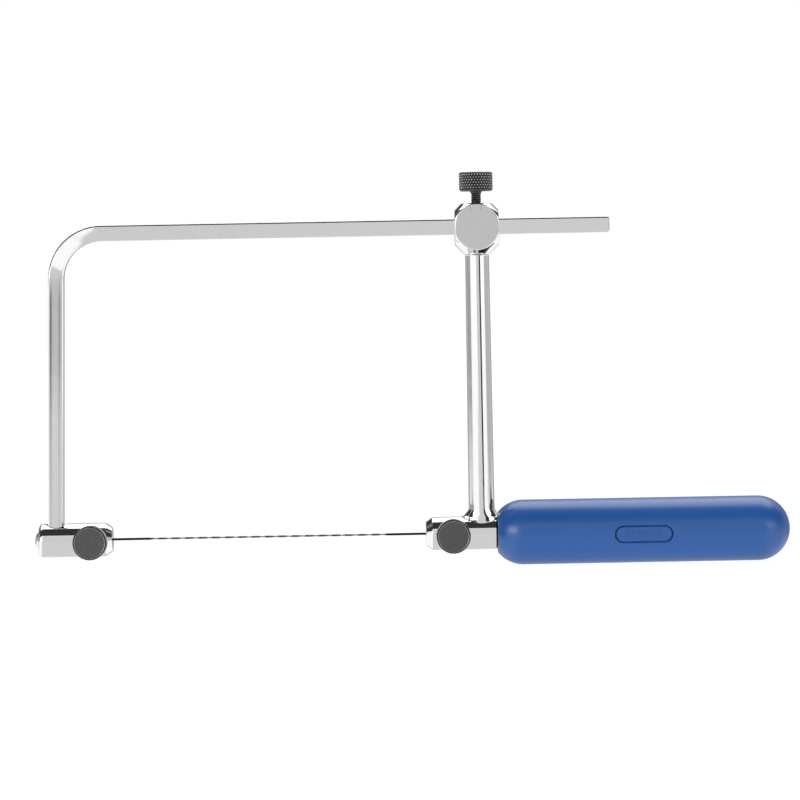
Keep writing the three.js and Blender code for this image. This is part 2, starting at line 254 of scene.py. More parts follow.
def skin(name, rings, start=None, end=None, place=Matrix.Identity(4)):
    """Closed mesh object over rings of points. start and end are poles, or None for a flat cap."""
    rings = np.asarray(rings, float)
    count, sides = rings.shape[:2]
    points = [tuple(p) for p in rings.reshape(-1, 3)]
    faces = []
    for i in range(count - 1):
        for j in range(sides):
            k = (j + 1) % sides
            faces.append((i * sides + j, i * sides + k, (i + 1) * sides + k, (i + 1) * sides + j))
    for pole, ring, outward in ((start, 0, -1), (end, count - 1, 1)):
        loop = [ring * sides + j for j in range(sides)][::outward]
        if pole is None:
            faces.append(tuple(loop))
        else:
            points.append(tuple(pole))
            faces += [(a, b, len(points) - 1) for a, b in zip(loop, loop[1:] + loop[:1])]
    mesh = bpy.data.meshes.new(name)
    mesh.from_pydata(points, [], faces)
    mesh.transform(Matrix.Scale(MM, 4) @ place)
    shape = bpy.data.objects.new(name, mesh)
    bpy.context.scene.collection.objects.link(shape)
    return shape


def plain_surface(outline, sides):
    """Radius, height and angle of every point that an outline of (along, radius) turns through."""
    along, radius = np.array(outline, float).T
    z, angle = np.meshgrid(along, np.arange(sides) * TAU / sides, indexing="ij")
    return np.repeat(radius[:, None], sides, 1), z, angle


def circle_rings(outline, sides, warp=None):
    """Rings about Z for an outline that is off the axis. warp(r, z, angle) gives the new radius."""
    r, z, angle = plain_surface(outline, sides)
    if warp is not None:
        r = warp(r, z, angle)
    return np.stack([r * np.cos(angle), r * np.sin(angle), z], -1)


def turned(name, corners, place, sides=160, longest=4.0, warp=None, steps=6):
    """Turned piece. Its corners are (along, radius, fillet) and begin and end on the axis."""
    outline = spaced_outline(rounded_outline(corners, steps), longest)
    first, last = outline[0], outline[-1]
    rings = circle_rings(outline[1:-1], sides, warp)
    return skin(name, rings, (0, 0, first[0]), (0, 0, last[0]), place)


def hole(radius, bottom, mouth, place, lead=0.0, sides=96):
    """Cutter for a round hole, with a chamfered mouth where lead is given."""
    corners = [(bottom, 0, 0), (bottom, radius, 0)]
    corners += [(mouth - lead, radius, 0), (mouth, radius + lead, 0)] if lead else []
    corners += [(mouth + CUT_BEYOND, radius + lead, 0), (mouth + CUT_BEYOND, 0, 0)]
    return turned("cutter", corners, place, sides, longest=50)


def combine(shape, other, operation="DIFFERENCE"):
    """Cuts, joins or intersects with another object, which is used up."""
    change = shape.modifiers.new("combine", "BOOLEAN")
    change.operation, change.solver, change.object = operation, "EXACT", other
    bpy.context.view_layer.update()
    baked = bpy.data.meshes.new_from_object(
        shape.evaluated_get(bpy.context.evaluated_depsgraph_get())
    )
    shape.modifiers.clear()
    old = shape.data
    shape.data = baked
    bpy.data.meshes.remove(old)
    used = other.data
    bpy.data.objects.remove(other)
    bpy.data.meshes.remove(used)
    return shape


def mark(shape, name, values):
    """Stores one number per vertex for the material to read."""
    layer = shape.data.attributes.new(name, "FLOAT", "POINT")
    layer.data.foreach_set("value", np.asarray(values, np.float32))


def points_mm(shape):
    """Coordinates of the vertices as three arrays, in millimetres."""
    flat = np.zeros(len(shape.data.vertices) * 3)
    shape.data.vertices.foreach_get("co", flat)
    return flat.reshape(-1, 3).T / MM


def complete(shape, body, slot, material, *stands_for, crease=32, weighted=True):
    """Shading, material, body and the CAD nodes that the piece stands for. The slot is not used."""
    mesh = shape.data
    mesh.shade_smooth()
    mesh.set_sharp_from_angle(angle=math.radians(crease))
    mesh.materials.clear()
    mesh.materials.append(material)
    if weighted:
        weigh = shape.modifiers.new("weighted_normals", "WEIGHTED_NORMAL")
        weigh.keep_sharp, weigh.weight = True, 80
    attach(shape, body)
    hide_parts(*stands_for)
    return shape


# ---- Node trees ----------------------------------------------------------------------------------


class Graph:
    """A node tree under construction. Each call adds a node and returns one of its outputs."""

    def __init__(self, tree):
        self.tree = tree
        tree.nodes.clear()

    def add(self, kind, inputs=None, output=0, **settings):
        node = self.tree.nodes.new("ShaderNode" + kind)
        for key, value in settings.items():
            setattr(node, key, value)
        for key, value in (inputs or {}).items():
            self.feed(node.inputs[key], value)
        return node.outputs[output] if len(node.outputs) else node

    def feed(self, socket, value):
        if isinstance(value, bpy.types.NodeSocket):
            self.tree.links.new(value, socket)
        else:
            socket.default_value = value

    def math(self, operation, *values):
        return self.add("Math", dict(enumerate(values)), operation=operation)

    def noise(self, place, scale, detail=2.0, roughness=0.5, stretch=None):
        if stretch:
            place = self.add("Mapping", {"Vector": place, "Scale": stretch})
        found = {"Vector": place, "Scale": scale, "Detail": detail, "Roughness": roughness}
        return self.add("TexNoise", found)

    def ramp(self, value, low, high, to_low=0.0, to_high=1.0, kind="SMOOTHSTEP"):
        """value taken from low..high to to_low..to_high, clamped."""
        span = {"Value": value, "From Min": low, "From Max": high, "To Min": to_low, "To Max": to_high}
        return self.add("MapRange", span, interpolation_type=kind)

    def mix(self, share, a, b):
        return self.add("Mix", {0: share, 6: a, 7: b}, output=2, data_type="RGBA")

    def bump(self, height, distance, under=None):
        inputs = {"Height": height, "Distance": distance}
        if under is not None:
            inputs["Normal"] = under
        return self.add("Bump", inputs)


def surface(name, make):
    """Material whose Principled inputs are given by make(graph, place)."""
    material = bpy.data.materials.new(name)
    material.use_nodes = True
    graph = Graph(material.node_tree)
    place = graph.add("TexCoord", output="Object")
    shader = graph.add("BsdfPrincipled", make(graph, place))
    graph.add("OutputMaterial", {"Surface": shader})
    return material


def grey(value, blue=1.0):
    return (value, value, value * blue, 1.0)


# ---- Materials -----------------------------------------------------------------------------------


def chrome(graph, place):
    """Bright plate over polished steel: faint buffing waves, hairlines and specks. It is painted near black
    where a per-vertex attribute paints shade and dark reflections.
    """
    waves = graph.noise(place, 120.0, 1.0)
    hairlines = graph.noise(place, 2600.0, 3.0, stretch=(0.12, 1.0, 1.0))
    specks = graph.ramp(graph.noise(place, 1900.0, 2.0), 0.66, 0.78)
    haze = graph.noise(place, 260.0, 3.0, 0.6)
    # Painted shade: this per-vertex attribute darkens the plate towards black in place of shadows and dark
    # reflections.
    painted_shade = graph.add("Attribute", output="Fac", attribute_name="painted_shade")
    rough = graph.ramp(haze, 0.35, 0.75, 0.035, 0.095, "LINEAR")
    normal = graph.bump(waves, 2.2e-5)
    normal = graph.bump(hairlines, 2.5e-7, normal)
    return {
        "Base Color": graph.mix(painted_shade, graph.mix(specks, grey(0.9), grey(0.62)), grey(0.01)),
        "Metallic": 1.0,
        "Roughness": rough,
        "Normal": normal,
    }


def black_oxide(graph, place):
    """Oiled black oxide on steel: mottled and finely turned. Its crests are painted lighter, partly as wear
    and partly as painted highlight, and the roots of knurl and thread are painted near black as painted
    shade.
    """
    mottle = graph.noise(place, 700.0, 4.0, 0.6)
    grain = graph.noise(place, 5200.0, 2.0)
    wear_and_painted_light = graph.add("Attribute", output="Fac", attribute_name="wear_and_painted_light")
    patchy = graph.ramp(mottle, 0.3, 0.6, 0.7, 1.0)
    # Crests painted lighter: partly wear, partly painted highlight.
    wear_and_painted_highlight = graph.math("MULTIPLY", graph.ramp(wear_and_painted_light, 0.55, 1.0), patchy)
    dark = graph.mix(mottle, grey(0.098, 1.02), grey(0.122, 1.03))
    # Painted shade: the roots of knurl and thread and the knob's top chamfer are painted near black.
    painted_root_shade = graph.mix(graph.ramp(wear_and_painted_light, 0.0, 0.5), grey(0.012), dark)
    matt = graph.ramp(mottle, 0.3, 0.7, 0.36, 0.48, "LINEAR")
    return {
        "Base Color": graph.mix(wear_and_painted_highlight, painted_root_shade, grey(0.62)),
        "Metallic": 0.85,
        "Roughness": graph.math("SUBTRACT", matt, graph.math("MULTIPLY", wear_and_painted_highlight, 0.2)),
        "Normal": graph.bump(grain, 2e-6),
    }


def blade_steel(graph, place):
    """Tempered blue-grey wire steel with draw lines along it, painted near black where a per-vertex
    attribute paints shade.
    """
    lines = graph.noise(place, 5000.0, 3.0, stretch=(0.05, 1.0, 1.0))
    tint = graph.noise(place, 320.0, 2.0)
    painted_shade = graph.add("Attribute", output="Fac", attribute_name="painted_shade")
    bright = graph.mix(tint, (0.1, 0.1, 0.11, 1), (0.18, 0.18, 0.19, 1))
    return {
        "Base Color": graph.mix(painted_shade, bright, (0.02, 0.02, 0.024, 1)),
        "Metallic": 1.0,
        "Roughness": graph.ramp(lines, 0.3, 0.7, 0.2, 0.34, "LINEAR"),
        "Normal": graph.bump(lines, 2e-6),
    }


def brass(graph, place):
    """Turned brass, slightly tarnished."""
    tarnish = graph.noise(place, 1100.0, 4.0, 0.6)
    turning = graph.noise(place, 6000.0, 2.0, stretch=(1.0, 0.1, 1.0))
    return {
        "Base Color": graph.mix(tarnish, (0.62, 0.44, 0.17, 1), (0.42, 0.28, 0.10, 1)),
        "Metallic": 1.0,
        "Roughness": graph.ramp(tarnish, 0.3, 0.7, 0.24, 0.42, "LINEAR"),
        "Normal": graph.bump(turning, 1.5e-6),
    }


def blue_plastic(graph, place):
    """Moulded handle plastic: orange peel, satin gloss, a little colour drift and light handling marks.

    The chrome beside it mirrors it as nearly black, as the real bright metal shows no blue.
    """
    drift = graph.noise(place, 45.0, 3.0)
    peel = graph.noise(place, 900.0, 2.0)
    grain = graph.noise(place, 5200.0, 2.0)
    rubs = graph.ramp(graph.noise(place, 420.0, 4.0, 0.65, stretch=(0.25, 1.0, 1.0)), 0.6, 0.78)
    tint = graph.mix(drift, (0.018, 0.104, 0.375, 1), (0.020, 0.112, 0.395, 1))
    satin = graph.ramp(peel, 0.3, 0.7, 0.30, 0.34, "LINEAR")
    gloss = graph.math("ADD", satin, graph.math("MULTIPLY", rubs, 0.02))
    normal = graph.bump(peel, 1.1e-5)
    normal = graph.bump(grain, 1.2e-6, normal)
    colour = graph.mix(graph.math("MULTIPLY", rubs, 0.03), tint, (0.06, 0.17, 0.48, 1))
    mirrored = graph.add("LightPath", output="Is Glossy Ray")
    return {
        "Base Color": graph.mix(mirrored, colour, (0.006, 0.008, 0.012, 1)),
        "Roughness": gloss,
        "Normal": normal,
        "Coat Weight": 0.15,
        "Coat Roughness": 0.22,
    }


CHROME = surface("chrome_plate", chrome)
BLACK_OXIDE = surface("oiled_black_oxide", black_oxide)
BLADE_STEEL = surface("tempered_blade_steel", blade_steel)
BRASS = surface("turned_brass", brass)
BLUE_PLASTIC = surface("satin_blue_plastic", blue_plastic)

# ---- Bow -----------------------------------------------------------------------------------------


def rounded_square(half, edge, steps=5):
    """Points round a square section with rounded edges, counter-clockwise."""
    reach = half - edge
    points = []
    for quarter, (u, v) in enumerate(((1, 1), (-1, 1), (-1, -1), (1, -1))):
        for k in range(steps + 1):
            angle = (quarter + k / steps) * math.pi / 2
            points.append((u * reach + edge * math.cos(angle), v * reach + edge * math.sin(angle)))
    return points


def leg_axis_x(height):
    return LEG_FOOT_X + height * math.tan(LEG_SPLAY)


def bow_path():
    """(point, outward direction) from the foot of the leg to the free end of the bar, in the XZ plane."""
    bend_z = BAR_Z - BEND_RADIUS
    leg_top_z = bend_z + BEND_RADIUS * math.sin(LEG_SPLAY)
    bend_x = leg_axis_x(leg_top_z) + BEND_RADIUS * math.cos(LEG_SPLAY)
    leg_angle = math.pi - LEG_SPLAY
    foot = (leg_axis_x(-LEG_FOOT_BELOW), -LEG_FOOT_BELOW)
    bend = []
    for k in range(BEND_STEPS + 1):
        angle = leg_angle + (math.pi / 2 - leg_angle) * k / BEND_STEPS
        outward = (math.cos(angle), math.sin(angle))
        bend.append(((bend_x + BEND_RADIUS * outward[0], bend_z + BEND_RADIUS * outward[1]), outward))
    leg = [(p, bend[0][1]) for p in spaced_outline([foot, bend[0][0]], 3)[:-1]]
    bar = [(p, bend[-1][1]) for p in spaced_outline([bend[-1][0], (BAR_HIGH.x, BAR_Z)], 3)[1:]]
    return leg + bend + bar


def bar_section(half):
    """Points round the bar's section: flat faces, and a slanted facet at each edge."""
    along_front, along_top = BAR_FACET
    corners = [(half, 0, 0)]
    for u, v in ((1, 1), (-1, 1), (-1, -1), (1, -1)):
        facet = [(u * half, v * (half - along_top), 0.1), (u * (half - along_front), v * half, 0.1)]
        corners += facet if u * v > 0 else facet[::-1]
    return spaced_outline(rounded_outline(corners + [(half, 0, 0)], 3), 0.28)[:-1]


def bend_strain(out_x, out_z):
    """0 on the straight parts, 1 in most of the bend."""
    if out_x >= 0 or out_z <= 0:
        return 0.0
    return float(smooth_step(0, 0.9, math.sin(2 * math.atan2(out_z, -out_x))))


def bow_bar():
    """Square bar bent once, with chamfers at both sawn ends. The bend draws its outer side thinner."""
    chamfer = BAR_END_CHAMFER
    path = bow_path()
    stations = [(path[0], 0.0, chamfer), (path[0], chamfer, 0.0)]
    stations += [(p, 0.0, 0.0) for p in path[1:-1]]
    stations += [(path[-1], -chamfer, 0.0), (path[-1], 0.0, chamfer)]
    half = BAR_SIDE / 2
    plain = bar_section(half)
    rings = []
    for ((x, z), (out_x, out_z)), onward, inset in stations:
        x, z = x + onward * out_z, z - onward * out_x
        strain, size = bend_strain(out_x, out_z), 1 - inset / half
        ring = []
        for u, v in plain:
            drawn = 1 - strain * (DRAWN_EVENLY + DRAWN_BY_BEND * u / half)
            ring.append((x + u * size * out_x, v * size * drawn, z + u * size * out_z))
        rings.append(ring)
    bar = skin("bent_bow_bar", rings)
    x, _, z = points_mm(bar)
    # Painted shade for the dark reflections along the leg.
    mark(bar, "painted_shade", leg_painted_shade(x, z))
    return complete(bar, "bow", "chrome", CHROME, "bow_bar")


def leg_painted_shade(x, z):
    """Painted shade along the leg in place of dark reflections: a line near its outer edge, a weaker one
    near its inner edge, and a faint darkening of its face higher up.
    """
    outward = (leg_axis_x(z) - x) * math.cos(LEG_SPLAY)
    half = BAR_SIDE / 2
    bend = BAR_Z - BEND_RADIUS
    high = smooth_step(5, 70, z) * (1 - smooth_step(bend - 6, bend + 6, z))
    unshaded = 1 - LEG_FACE_PAINTED_SHADE * smooth_step(40, 82, z) * (np.abs(outward) < half - 0.4)
    for inset, width, everywhere, higher_up in LEG_LINES:
        line = np.exp(-(((outward - half + inset) / width) ** 2))
        unshaded = unshaded * (1 - (everywhere + higher_up * high) * line)
    on_leg = 1 - smooth_step(bend - 9, bend + 5, z)
    return (1 - unshaded) * on_leg


def screw_axis_x(node):
    return middle(node).x


def front_barrel():
    """Turned barrel, rounded outside and chamfered inside, drilled for leg, rivet, blade and screw."""
    along, across = BARREL_CHAMFER
    radius = FRONT_HIGH.y
    low, high = FRONT_LOW.x, FRONT_HIGH.x
    corners = [(low, 0, 0), (low, radius, 1.5)]
    corners += [(high - along, radius, 0.35), (high, radius - across, 0.25), (high, 0, 0)]
    place = placed((0, 0, 0), ALONG_X)
    barrel = turned("front_barrel", corners, place, sides=256, longest=1.0, steps=10)
    leg = Vector((math.tan(LEG_SPLAY), 0, 1)).normalized()
    leg_foot = (leg_axis_x(0), 0, 0)
    combine(barrel, hole(LEG_HOLE_RADIUS, -LEG_FOOT_BELOW - 0.3, radius + 2, placed(leg_foot, leg)))
    combine(barrel, hole(RIVET_SHANK + FIT, -8, 0, placed((low, 0, 0), (-1, 0, 0))))
    drill_clamp_holes(barrel, screw_axis_x("front_clamp_thumbscrew"), radius, leg_foot[0], high)
    x, y, z = points_mm(barrel)
    # Painted shadow: the plate round the rim of the leg's hole is painted near black.
    in_hole = (np.hypot(x - leg_axis_x(z), y) < LEG_HOLE_RADIUS + FIT) * (z > 0)
    mark(barrel, "painted_shade", LEG_HOLE_SHADE * in_hole)
    return complete(barrel, "bow", "chrome", CHROME, "front_clamp_barrel")


def drill_clamp_holes(barrel, screw_x, radius, inner_x, mouth_x):
    """Blade passage out of one end, and the tapped hole in front with its countersink."""
    side = 1 if mouth_x > inner_x else -1
    length = abs(mouth_x - inner_x)
    combine(barrel, hole(BLADE_HOLE, 0, length, placed((inner_x, 0, 0), (side, 0, 0)), lead=0.3))
    tapped = placed((screw_x, ANVIL_Y, 0), TO_FRONT)
    combine(barrel, hole(SCREW_RADIUS + THREAD_FIT, 0, radius + ANVIL_Y, tapped))
    countersink = [(0, 0, 0), (0, SCREW_RADIUS - 0.4, 0), (3, SCREW_RADIUS + 2.6, 0), (3, 0, 0)]
    start = placed((screw_x, COUNTERSINK_DEPTH - radius, 0), TO_FRONT)
    combine(barrel, turned("cutter", countersink, start, 96, 50))


def end_rivet():
    """Domed rivet that closes the outer end of the front barrel."""
    low, high = RIVET_LOW.x, RIVET_HIGH.x
    head_back, head_radius = FRONT_LOW.x - SEAM, RIVET_HIGH.y
    head_height = head_back - low
    dome = (head_radius**2 + head_height**2) / (2 * head_height)
    reach = math.asin(head_radius / dome)
    corners = [(along, off, 0) for along, off in arc(low + dome, 0, dome, math.pi, math.pi - reach, 14)]
    corners += [(head_back, RIVET_SHANK, 0), (high, RIVET_SHANK, 0.2), (high, 0, 0)]
    rivet = turned("domed_end_rivet", corners, placed((0, 0, 0), ALONG_X), sides=128)
    return complete(rivet, "bow", "chrome", CHROME, "bow_end_rivet", crease=40)


# ---- Rear frame ----------------------------------------------------------------------------------


def tang_grooves(tang_end):
    """Outline corners of the grooves that the handle is moulded into."""
    corners = []
    start = HANDLE_LOW.x + TANG_GROOVE_SPACING
    while start < tang_end - 4:
        stop, bottom = start + TANG_GROOVE_WIDTH, TANG_RADIUS - TANG_GROOVE_DEPTH
        corners += [(start, TANG_RADIUS, 0), (start + TANG_GROOVE_SLOPE, bottom, 0)]
        corners += [(stop - TANG_GROOVE_SLOPE, bottom, 0), (stop, TANG_RADIUS, 0)]
        start += TANG_GROOVE_SPACING
    return corners


def rear_barrel():
    """Turned barrel whose grooved tang runs inside the handle. A narrower collar stands in the gap, painted
    near black as painted shade.
    """
    along, across = BARREL_CHAMFER
    radius, low, tang_end = REAR_HIGH.y, REAR_LOW.x, REAR_HIGH.x
    collar, facing = radius - COLLAR_DEPTH, HANDLE_LOW.x - SEAM
    corners = [(low, 0, 0), (low, radius - across, 0.25), (low + along, radius, 0.35)]
    corners += [(SHOULDER_X, radius, 0.15), (SHOULDER_X, collar, 0)]
    corners += [(facing, collar, 0), (facing, TANG_RADIUS, 0)]
    corners += tang_grooves(tang_end)
    corners += [(tang_end - 1, TANG_RADIUS, 0), (tang_end, TANG_RADIUS - 1, 0), (tang_end, 0, 0)]
    place = placed((0, 0, 0), ALONG_X)
    barrel = turned("rear_barrel_with_tang", corners, place, sides=256, longest=1.0, steps=8)
    combine(barrel, hole(STEM_TENON + FIT, -2.7, radius + 2, placed((STEM_X, 0, 0), UP)))
    drill_clamp_holes(barrel, screw_axis_x("rear_clamp_thumbscrew"), radius, STEM_X - STEM_TENON, low)
    x, y, z = points_mm(barrel)
    # Painted shade: the collar and the tang behind the shoulder are painted near black, as the gap's
    # shadow.
    mark(barrel, "painted_shade", (x > SHOULDER_X - 0.01) * (np.hypot(y, z) < collar + 0.01))
    return complete(barrel, "rear_frame", "chrome", CHROME, "rear_clamp_barrel")


def flare_curve(barrel_top, steps=28):
    """(height, radius) down the hollow curve from the saddle's edge to the round of the stem."""
    start, end = (barrel_top, FLARE_RADIUS), (barrel_top + FLARE_HEIGHT, STEM_FOOT_RADIUS)
    pull = (barrel_top + FLARE_PULL[0], STEM_FOOT_RADIUS + FLARE_PULL[1])
    curve = []
    for t in (k / steps for k in range(steps + 1)):
        shares = ((1 - t) ** 2, 2 * t * (1 - t), t * t)
        curve.append(tuple(sum(w * p for w, p in zip(shares, at)) for at in zip(start, pull, end)))
    return curve


def stem():
    """Tapered round stem. Its foot flares along the barrel only and sits over it like a saddle."""
    barrel_top = REAR_HIGH.z
    top = HEAD_LOW.z - SEAM
    outline = [(2.0, 0), (2.0, FLARE_RADIUS)] + flare_curve(barrel_top)
    outline += [(top - 0.25, STEM_TOP_RADIUS), (top, STEM_TOP_RADIUS - 0.25)]
    outline += [(top, HEAD_TENON), (STEM_HIGH.z, HEAD_TENON), (STEM_HIGH.z, 0)]
    outline = spaced_outline(outline, 2.0)
    rings = circle_rings(outline[1:-1], 256)
    radius = np.hypot(rings[..., 0], rings[..., 1])
    rings[..., 1] *= np.minimum(1, STEM_FOOT_RADIUS / np.maximum(radius, 0.01))
    ends = (0, 0, outline[0][0]), (0, 0, outline[-1][0])
    post = skin("tapered_stem", rings, *ends, placed((STEM_X, 0, 0), UP))
    saddle = [(-12, 0, 0), (-12, REAR_HIGH.y + SEAM, 0), (12, REAR_HIGH.y + SEAM, 0), (12, 0, 0)]
    combine(post, turned("cutter", saddle, placed((STEM_X, 0, 0), ALONG_X), 256, 50))
    facing = HANDLE_LOW.x - 0.12
    combine(post, hole(12, 0, 6, placed((facing, 0, barrel_top), ALONG_X), sides=16))
    tenon = [(STEM_LOW.z, 0, 0), (STEM_LOW.z, STEM_TENON, 0.3), (12, STEM_TENON, 0), (12, 0, 0)]
    combine(post, turned("cutter", tenon, placed((STEM_X, 0, 0), UP), 96), "UNION")
    return complete(post, "rear_frame", "chrome", CHROME, "stem_post")


def head_reach(directions):
    """Distance from the middle of the bar's passage to the head's outside along unit directions.

    The head is a flat-sided block turned to cones above and below, and turned again round its two faces.
    A high power mean of the separate surfaces gives its edges their small rounding.
    """
    x, y, z = directions
    across = np.hypot(x, y)
    half_width, half_depth = (HEAD_HIGH.x - HEAD_LOW.x) / 2, (HEAD_HIGH.y - HEAD_LOW.y) / 2
    above, below = HEAD_HIGH.z - BAR_Z, BAR_Z - HEAD_LOW.z
    nearness = [
        np.abs(x) / half_width,
        np.abs(y) / half_depth,
        np.maximum(z, 0) / above,
        np.maximum(-z, 0) / below,
        across / HEAD_SHOULDER_RADIUS,
        np.maximum(across + z, 0) / (above + HEAD_TOP_RADIUS),
        np.maximum(across - z, 0) / (below + STEM_TOP_RADIUS),
        (np.hypot(x, z) + np.abs(y)) / (half_depth + HEAD_FACE_RADIUS),
    ]
    return sum(n**HEAD_CRISPNESS for n in nearness) ** (-1 / HEAD_CRISPNESS)


def head():
    """Slide head with the bar's passage, the lock screw's tapped hole and the stem's socket."""
    rows, sides = 200, 480
    polar = np.pi - (np.arange(1, rows) / rows) * np.pi
    angle = np.arange(sides) * TAU / sides
    polar, angle = np.meshgrid(polar, angle, indexing="ij")
    way = np.stack([np.sin(polar) * np.cos(angle), np.sin(polar) * np.sin(angle), np.cos(polar)])
    rings = np.moveaxis(way * head_reach(way), 0, -1)
    on_face = rings[..., 1] < -(HEAD_HIGH.y - HEAD_LOW.y) / 2 + 0.04
    rings[..., 1] += np.where(on_face, plug_line_depth(rings[..., 0], rings[..., 2]), 0)
    centre = (STEM_X, 0, BAR_Z)
    above, below = HEAD_HIGH.z - BAR_Z, BAR_Z - HEAD_LOW.z
    block = skin("slide_head_block", rings, (0, 0, -below), (0, 0, above), placed(centre, UP))
    combine(block, bar_passage(centre))
    combine(block, hole(SCREW_RADIUS + THREAD_FIT, 0, above, placed(centre, UP), lead=0.35))
    socket = placed((STEM_X, 0, HEAD_LOW.z + 4.6), (0, 0, -1))
    combine(block, hole(HEAD_TENON + FIT, 0.5, 9.5, socket))
    # Painted shade: the front face is painted a little darker, for a darker reflection.
    mark(block, "painted_shade", HEAD_FACE_PAINTED_SHADE * (points_mm(block)[1] < HEAD_LOW.y + 0.06))
    return complete(block, "rear_frame", "chrome", CHROME, "slide_head", crease=50)


def plug_line_depth(x, z):
    """Depth of the faint line round the plug that was pressed into the top of the head's front face."""
    squash, sharp, faded = 0.7, 0.05, 0.32
    reach = np.hypot(x, np.minimum(z - PLUG_CENTRE_ABOVE, 0) * squash)
    away = np.abs(reach - PLUG_RADIUS)
    return PLUG_LINE_DEPTH * (1 - smooth_step(sharp, faded, away)) * smooth_step(0, 1, z)


def bar_passage(centre):
    """Square cutter with flared mouths."""
    half, width = BAR_SIDE / 2 + 0.12, (HEAD_HIGH.x - HEAD_LOW.x) / 2
    flare, outside = 0.25, 2.0
    wide = flare + outside
    rings = []
    stations = [(-width - outside, wide), (flare - width, 0), (width - flare, 0), (width + outside, wide)]
    for x, grow in stations:
        rings.append([(x, u, v) for u, v in rounded_square(half + grow, 0.5)])
    return skin("cutter", rings, place=Matrix.Translation(centre))


# ---- Blade ---------------------------------------------------------------------------------------


def blade():
    """Flat wire twisted in its middle, with fine teeth cut along both of its edges there."""
    length = BLADE_HIGH.x - BLADE_LOW.x
    x = np.arange(0, length + 1e-6, TOOTH_PITCH / 5) - length / 2
    share = np.clip(x / TWIST_LENGTH + 0.5, 0, 1)
    toothed = smooth_step(0, 0.01, share) * smooth_step(0, 0.01, 1 - share)
    saw = (x / TOOTH_PITCH) % 1.0
    tooth = np.where(saw < TOOTH_RISE, saw / TOOTH_RISE, (1 - saw) / (1 - TOOTH_RISE))
    bite = TOOTH_DEPTH * toothed * tooth
    twist = share * TWIST_TURNS * TAU
    edge = BLADE_EDGE
    section = [(1, -1, 0, edge), (1, 1, 0, edge), (1, 1, edge, 0), (-1, 1, edge, 0)]
    section += [(-1, 1, 0, edge), (-1, -1, 0, edge), (-1, -1, edge, 0), (1, -1, edge, 0)]
    rings = np.zeros((len(x), len(section), 3))
    for k, (side, face, off_edge, off_face) in enumerate(section):
        v = side * (BLADE_HALF_WIDTH - bite - off_edge)
        u = face * (BLADE_HALF_THICKNESS - off_face)
        rings[:, k, 0] = x
        rings[:, k, 1] = -u * np.cos(twist) - v * np.sin(twist)
        rings[:, k, 2] = -u * np.sin(twist) + v * np.cos(twist)
    centre = ((BLADE_LOW.x + BLADE_HIGH.x) / 2, 0, 0)
    strip = skin("toothed_spiral_blade", rings, place=Matrix.Translation(centre))
    # Painted shade: the plain ends are painted near black, and the twisted middle a little darker.
    blade_painted_shade = 1 - 0.8 * smooth_step(0, 0.02, share) * smooth_step(0, 0.02, 1 - share)
    mark(strip, "painted_shade", np.repeat(blade_painted_shade, len(section)))
    return complete(strip, "rear_frame", "blade_steel", BLADE_STEEL, "spiral_blade", crease=35)


# ---- Thumbscrews and pads ------------------------------------------------------------------------


def knurl_crest(r, z, angle):
    """(where the knob is knurled, height of the diamonds), both 0 to 1."""
    low, high, runout = SHANK_LENGTH + KNOB_BORDER, KNOB_TOP - KNOB_BORDER, 0.4
    on_knob = smooth_step(low - runout, low, z) * (1 - smooth_step(high, high + runout, z))
    on_knob = on_knob * (r > KNOB_RADIUS - 0.9)
    slant = z * math.tan(KNURL_ANGLE) / KNOB_RADIUS
    one = triangle_wave((angle + slant) * KNURL_STARTS / TAU)
    other = triangle_wave((angle - slant) * KNURL_STARTS / TAU)
    return on_knob, np.minimum(np.minimum(one, other), KNURL_FLAT) / KNURL_FLAT


def thread_ridge(z, angle):
    """(where the shank is threaded, height of the thread), both 0 to 1."""
    threaded = smooth_step(1.2, 1.6, z) * (1 - smooth_step(SHANK_LENGTH - 0.9, SHANK_LENGTH - 0.6, z))
    return threaded, triangle_wave(z / SCREW_PITCH - angle / TAU)


def knurl_and_thread(r, z, angle):
    """Cuts the diamond knurl into the knob and a thread into the shank."""
    on_knob, crest = knurl_crest(r, z, angle)
    threaded, ridge = thread_ridge(z, angle)
    return r - on_knob * KNURL_DEPTH * (1 - crest) - threaded * THREAD_DEPTH * (1 - ridge)


def wear_and_painted_light_levels(r, z, angle):
    """0 in the depth of knurl and thread, 0.5 on plain turned surfaces, and up to 1 on crests and rim. Low
    values paint shade, high values paint wear and highlight.
    """
    on_knob, crest = knurl_crest(r, z, angle)
    threaded, ridge = thread_ridge(z, angle)
    # Knurl and thread: roots get painted shade, crests get wear and painted highlight.
    shine = 0.5 + on_knob * (crest - 0.5) + threaded * 0.75 * (ridge - 0.55)
    # Painted highlight on the edge of the knob's face, and painted shade on its chamfer.
    rim = (z > KNOB_TOP - 0.05) * (r > KNOB_RADIUS - 0.65) * (r < KNOB_RADIUS - 0.49)
    chamfer = (z > KNOB_TOP - 0.55) * (r >= KNOB_RADIUS - 0.5)
    return np.where(rim, 0.78, np.where(chamfer, 0.22, shine))


def screw_outline():
    """(along, radius) of a thumbscrew from its tip to the slightly dished face of its knob."""
    top = KNOB_TOP
    corners = [(0, 0, 0), (0, 0.8, 0), (0.2, 1.0, 0), (0.8, 1.0, 0), (1.3, SCREW_RADIUS, 0)]
    corners += [(SHANK_LENGTH - 0.6, SCREW_RADIUS, 0), (SHANK_LENGTH, SCREW_RADIUS + 0.35, 0)]
    corners += [(SHANK_LENGTH, KNOB_RADIUS - 0.55, 0.1), (SHANK_LENGTH + 0.55, KNOB_RADIUS, 0.15)]
    corners += [(top - 0.45, KNOB_RADIUS, 0.15), (top, KNOB_RADIUS - 0.48, 0.05)]
    corners += [(top, KNOB_RADIUS - 0.62, 0), (top - 0.1, KNOB_RADIUS - 0.74, 0), (top - 0.1, 0, 0)]
    return rounded_outline(corners, 3)


